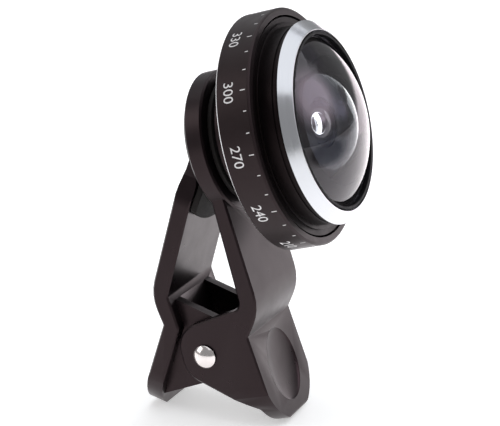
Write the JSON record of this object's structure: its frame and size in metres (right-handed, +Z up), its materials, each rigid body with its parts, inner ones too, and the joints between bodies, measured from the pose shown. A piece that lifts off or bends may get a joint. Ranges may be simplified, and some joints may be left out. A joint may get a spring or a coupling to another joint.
{
  "type": "clip-on phone lens",
  "caption": "Wide-angle lens in a black round housing with a bright bevelled ring and domed glass, screwed into the ring of a sprung plastic clip with thumb handles.",
  "frame": {"origin": "middle of the footprint of the whole part's box, on the surface that the two handle ends stand on", "axes": "+Z up, +X forwards out of the lens, +Y across the clip; the lens looks along +X, tipped up by the lean that the clip takes on its two handle ends"},
  "size_m": [0.0376, 0.0396, 0.0701],
  "materials": {
    "clip_plastic": "satin black moulded plastic",
    "anodised_black": "fine black anodised, satin",
    "bright_ring": "turned bright, brushed round",
    "lens_glass": "polished and coated",
    "inner_black": "dull black",
    "soft_pad": "matt soft rubber",
    "pin_steel": "polished steel",
    "spring_steel": "drawn spring wire"
  },
  "bodies": {
    "front_clip": {"front_jaw": "clip_plastic", "pivot_pin": "pin_steel", "torsion_spring": "spring_steel", "ring_pad": "soft_pad"},
    "rear_clip": {"rear_jaw": "clip_plastic", "rear_jaw_pad": "soft_pad"},
    "washer": {"seat_washer": "soft_pad"},
    "lens": {"rear_barrel": "anodised_black", "lens_body": "anodised_black", "front_barrel": "anodised_black", "bezel_ring": "bright_ring", "dome_retainer": "inner_black", "front_dome": "lens_glass", "dome_gasket": "soft_pad", "light_baffle": "inner_black", "lens_cell": "inner_black", "second_element": "lens_glass", "aperture_stop": "inner_black", "third_element": "lens_glass", "element_spacer": "inner_black", "rear_element": "lens_glass"}
  },
  "joints": [
    {"name": "jaw_hinge", "type": "hinge", "parent": "front_clip", "child": "rear_clip", "pos_m": [-0.00592, 0, 0.01192], "axis": [0, -1, 0], "range_deg": [0, 45], "stiffness_Nm_per_rad": 0.06, "springref_deg": -20.05, "deforming": ["torsion_spring"]},
    {"name": "lens_advance", "type": "slide", "parent": "front_clip", "child": "washer", "axis": [0.9663, 0, 0.2572], "range_m": [0, 0.00265]},
    {"name": "lens_turn", "type": "hinge", "parent": "washer", "child": "lens", "pos_m": [-0.00661, 0, 0.04692], "axis": [0.9663, 0, 0.2572], "range_deg": [0, 1260]}
  ],
  "couplings": [
    {"joint": "lens_advance", "follows": "lens_turn", "m_per_rad": 0.00011937}
  ]
}
